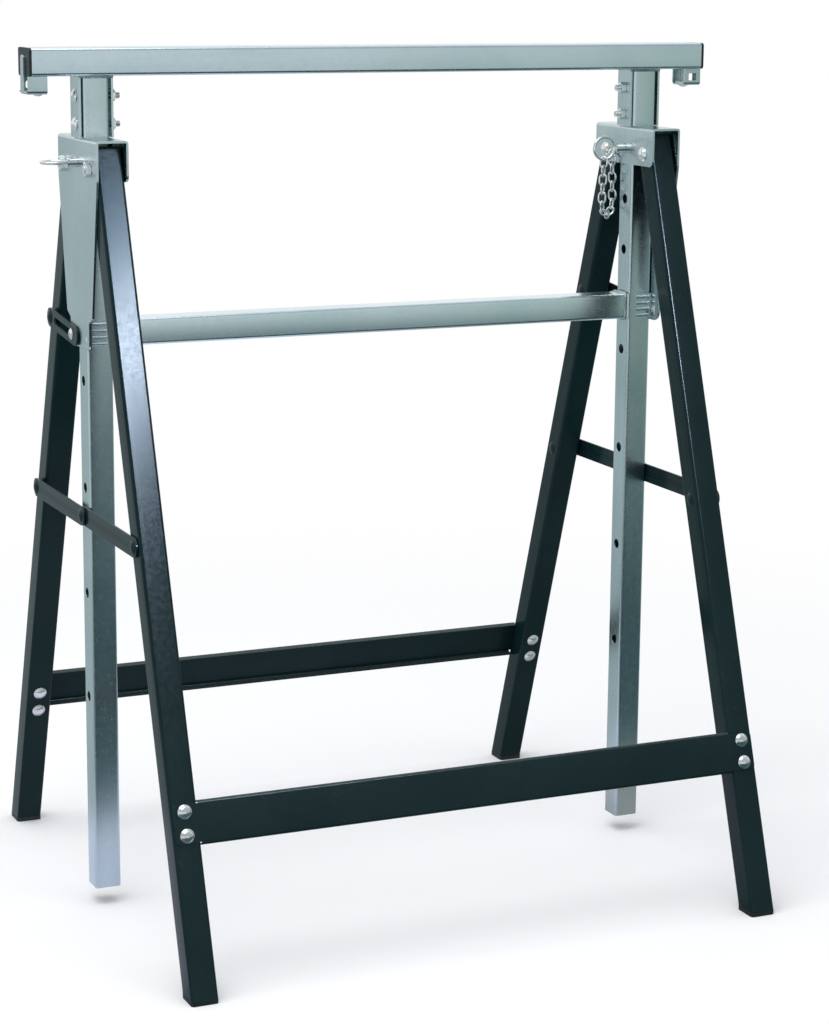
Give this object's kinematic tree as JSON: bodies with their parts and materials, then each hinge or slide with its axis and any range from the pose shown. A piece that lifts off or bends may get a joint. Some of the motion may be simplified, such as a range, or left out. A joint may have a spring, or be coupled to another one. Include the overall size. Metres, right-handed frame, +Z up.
{
  "type": "folding height-adjustable builders trestle",
  "caption": "Steel work trestle: a beam on two telescoping posts with drop-in lock pins, carried by folding splayed legs with stretchers, jointed braces and slotted stays.",
  "frame": {"origin": "on the floor under the middle of the beam, centre of the feet", "axes": "+X along the beam to the right as seen from the front, +Y to the rear, +Z up"},
  "size_m": [0.6886, 0.5682, 0.806],
  "materials": {
    "galvanised": "zinc-plated, satin, slightly bluish",
    "fastener": "bright zinc",
    "paint": "dark green-black gloss enamel",
    "plastic": "black moulded plastic"
  },
  "bodies": {
    "head_frame": {"left_head_bracket": "galvanised", "right_head_bracket": "galvanised", "left_guide_strap": "galvanised", "right_guide_strap": "galvanised", "crossbar": "galvanised", "strap_rivets": "fastener", "stay_studs": "fastener", "leg_pivot_bolts": "fastener", "leg_pivot_nuts": "fastener", "chain_anchor": "fastener", "retaining_chain": "fastener"},
    "top_beam": {"beam": "galvanised", "left_beam_cap": "plastic", "right_beam_cap": "plastic", "left_saddle": "galvanised", "right_saddle": "galvanised", "left_post": "galvanised", "right_post": "galvanised", "saddle_bolts": "fastener", "saddle_nuts": "fastener", "stop_screws": "fastener", "stop_nuts": "fastener", "left_stop_bracket": "galvanised", "right_stop_bracket": "galvanised"},
    "left_stop": {"left_end_stop": "galvanised"},
    "right_stop": {"right_end_stop": "galvanised"},
    "left_pin": {"left_lock_pin": "fastener"},
    "right_pin": {"right_lock_pin": "fastener"},
    "front_frame": {"front_left_leg": "paint", "front_right_leg": "paint", "front_stretcher": "paint", "front_stretcher_bolts": "fastener", "front_stretcher_nuts": "fastener", "front_left_foot": "plastic", "front_right_foot": "plastic", "front_brace_rivets": "paint"},
    "rear_frame": {"rear_left_leg": "paint", "rear_right_leg": "paint", "rear_stretcher": "paint", "rear_stretcher_bolts": "fastener", "rear_stretcher_nuts": "fastener", "rear_left_foot": "plastic", "rear_right_foot": "plastic", "rear_brace_rivets": "paint", "stay_rivets": "paint"},
    "left_front_link": {"left_front_brace": "paint"},
    "right_front_link": {"right_front_brace": "paint"},
    "left_rear_link": {"left_rear_brace": "paint", "left_brace_pin": "paint"},
    "right_rear_link": {"right_rear_brace": "paint", "right_brace_pin": "paint"},
    "left_stay_bar": {"left_stay": "paint"},
    "right_stay_bar": {"right_stay": "paint"}
  },
  "joints": [
    {"name": "lift", "type": "slide", "parent": "head_frame", "child": "top_beam", "axis": [0, 0, 1], "range_m": [0, 0.5]},
    {"name": "front_fold", "type": "hinge", "parent": "head_frame", "child": "front_frame", "pos_m": [0, -0.038, 0.7], "axis": [1, 0, 0], "range_deg": [0, 18.5]},
    {"name": "rear_fold", "type": "hinge", "parent": "head_frame", "child": "rear_frame", "pos_m": [0, 0.038, 0.7], "axis": [-1, 0, 0], "range_deg": [0, 18.5]},
    {"name": "left_front_brace_fold", "type": "hinge", "parent": "front_frame", "child": "left_front_link", "pos_m": [-0.28, -0.14588, 0.37757], "axis": [1, 0, 0], "range_deg": [0, 56.4]},
    {"name": "right_front_brace_fold", "type": "hinge", "parent": "front_frame", "child": "right_front_link", "pos_m": [0.28, -0.14588, 0.37757], "axis": [1, 0, 0], "range_deg": [0, 56.4]},
    {"name": "left_rear_brace_fold", "type": "hinge", "parent": "rear_frame", "child": "left_rear_link", "pos_m": [-0.28, 0.14588, 0.37757], "axis": [-1, 0, 0], "range_deg": [0, 56.4]},
    {"name": "right_rear_brace_fold", "type": "hinge", "parent": "rear_frame", "child": "right_rear_link", "pos_m": [0.28, 0.14588, 0.37757], "axis": [-1, 0, 0], "range_deg": [0, 56.4]},
    {"name": "left_stay_swing", "type": "hinge", "parent": "rear_frame", "child": "left_stay_bar", "pos_m": [-0.28, 0.0875, 0.55206], "axis": [1, 0, 0], "range_deg": [0, 9.25]},
    {"name": "right_stay_swing", "type": "hinge", "parent": "rear_frame", "child": "right_stay_bar", "pos_m": [0.28, 0.0875, 0.55206], "axis": [1, 0, 0], "range_deg": [0, 9.25]},
    {"name": "left_pin_push", "type": "slide", "parent": "head_frame", "child": "left_pin", "axis": [1, 0, 0], "range_m": [0, 0.008]},
    {"name": "right_pin_push", "type": "slide", "parent": "head_frame", "child": "right_pin", "axis": [1, 0, 0], "range_m": [0, 0.008], "deforming": ["retaining_chain"]},
    {"name": "left_stop_raise", "type": "slide", "parent": "top_beam", "child": "left_stop", "axis": [0, 0, 1], "range_m": [0, 0.011]},
    {"name": "right_stop_raise", "type": "slide", "parent": "top_beam", "child": "right_stop", "axis": [0, 0, 1], "range_m": [0, 0.011]}
  ],
  "couplings": [
    {"joint": "rear_fold", "follows": "front_fold", "ratio": 1},
    {"joint": "left_front_brace_fold", "follows": "front_fold", "ratio": 3.0487},
    {"joint": "left_rear_brace_fold", "follows": "front_fold", "ratio": 3.0487},
    {"joint": "right_front_brace_fold", "follows": "front_fold", "ratio": 3.0487},
    {"joint": "right_rear_brace_fold", "follows": "front_fold", "ratio": 3.0487},
    {"joint": "left_stay_swing", "follows": "front_fold", "ratio": 0.5},
    {"joint": "right_stay_swing", "follows": "front_fold", "ratio": 0.5}
  ]
}
